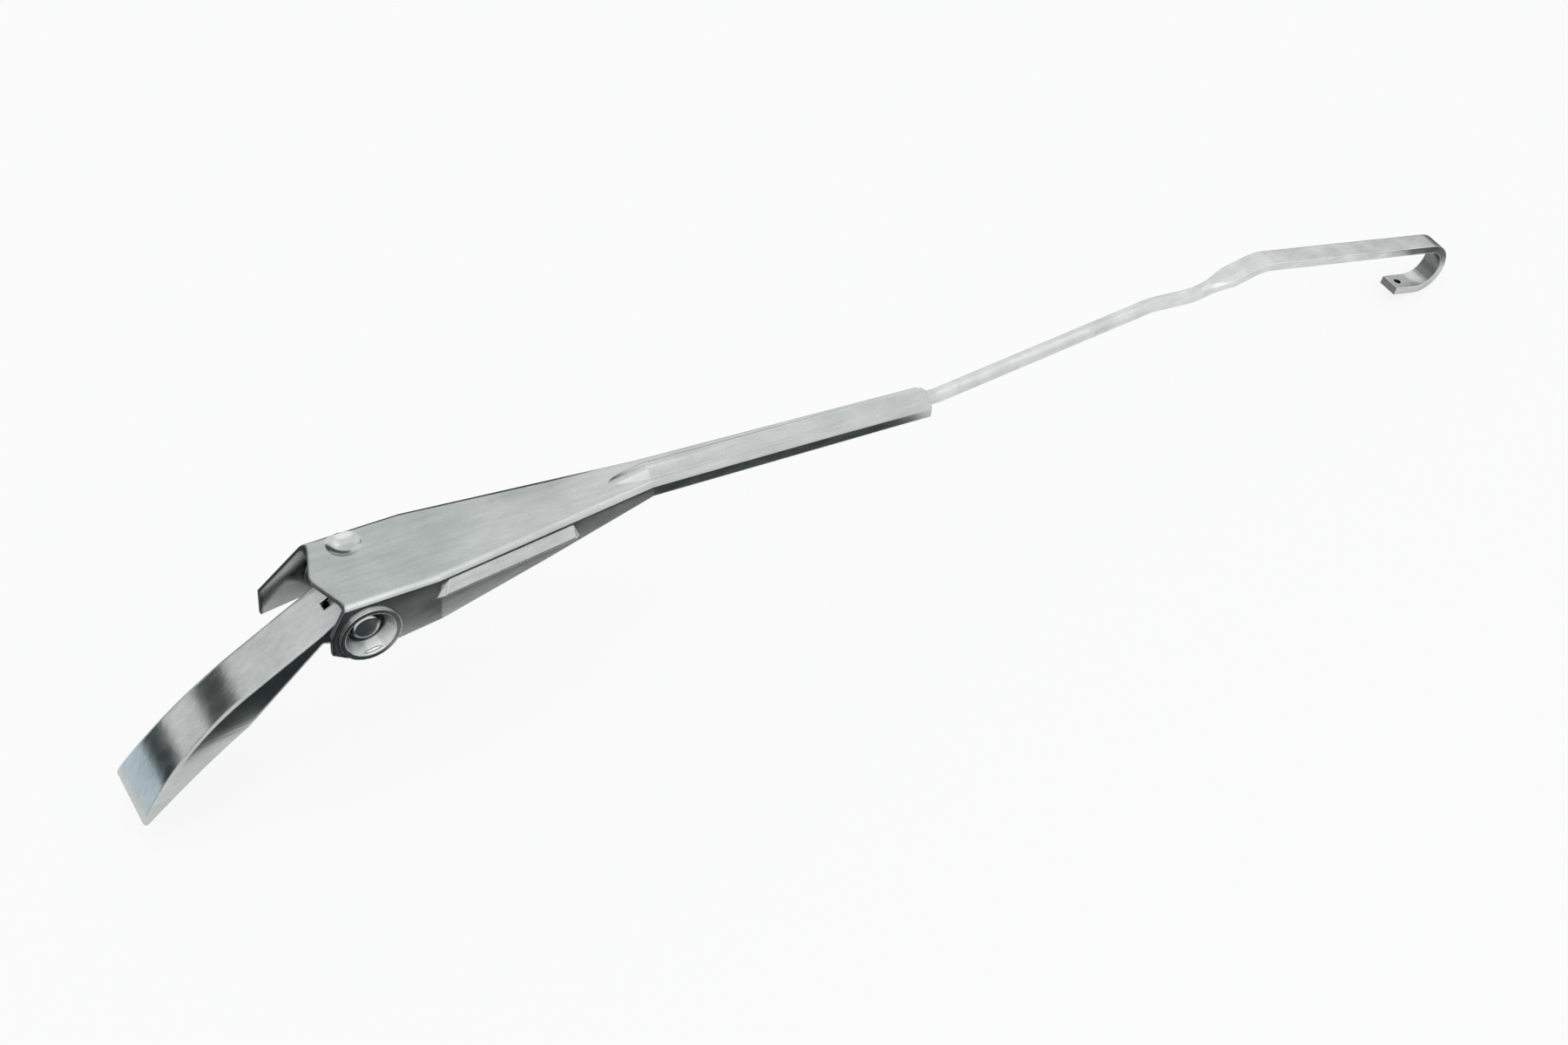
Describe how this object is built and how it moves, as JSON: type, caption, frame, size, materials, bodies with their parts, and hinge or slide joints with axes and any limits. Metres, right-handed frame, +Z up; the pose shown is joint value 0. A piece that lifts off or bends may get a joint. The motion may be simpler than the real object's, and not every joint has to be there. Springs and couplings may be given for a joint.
{
  "type": "windscreen wiper arm",
  "caption": "Sprung windscreen wiper arm: pressed spindle head hinged to a tapered channel, with a round rod flattened into a U-hook that carries the blade.",
  "frame": {"origin": "centre of the spindle bore's mouth on the underside of the head", "axes": "+X along the arm from the spindle to the hook, +Y across it, +Z up as the arm lies in the picture"},
  "size_m": [0.4184, 0.029, 0.0589],
  "materials": {
    "pressed_steel": "satin",
    "rod_steel": "satin",
    "hub_metal": "matte",
    "rivet_steel": "polished",
    "spring_steel": "satin"
  },
  "bodies": {
    "head": {"head": "pressed_steel", "spindle_hub": "hub_metal", "latch_clip": "spring_steel", "spring_pin": "rivet_steel", "pivot_rivets": "rivet_steel", "pivot_washers": "rivet_steel"},
    "arm": {"channel": "pressed_steel", "rod": "rod_steel"},
    "link": {"spring_link": "spring_steel", "tension_spring": "spring_steel"}
  },
  "joints": [
    {"name": "arm_lift", "type": "hinge", "parent": "head", "child": "arm", "pos_m": [0.03491, 0, 0.02411], "axis": [0, -1, 0], "range_deg": [0, 55], "stiffness_Nm_per_rad": 0.2, "springref_deg": -28.65},
    {"name": "link_swing", "type": "hinge", "parent": "head", "child": "link", "pos_m": [0.02936, 0, 0.02093], "axis": [0, -1, 0], "range_deg": [0, 52]}
  ],
  "couplings": [
    {"joint": "link_swing", "follows": "arm_lift", "ratio": 0.9331}
  ]
}
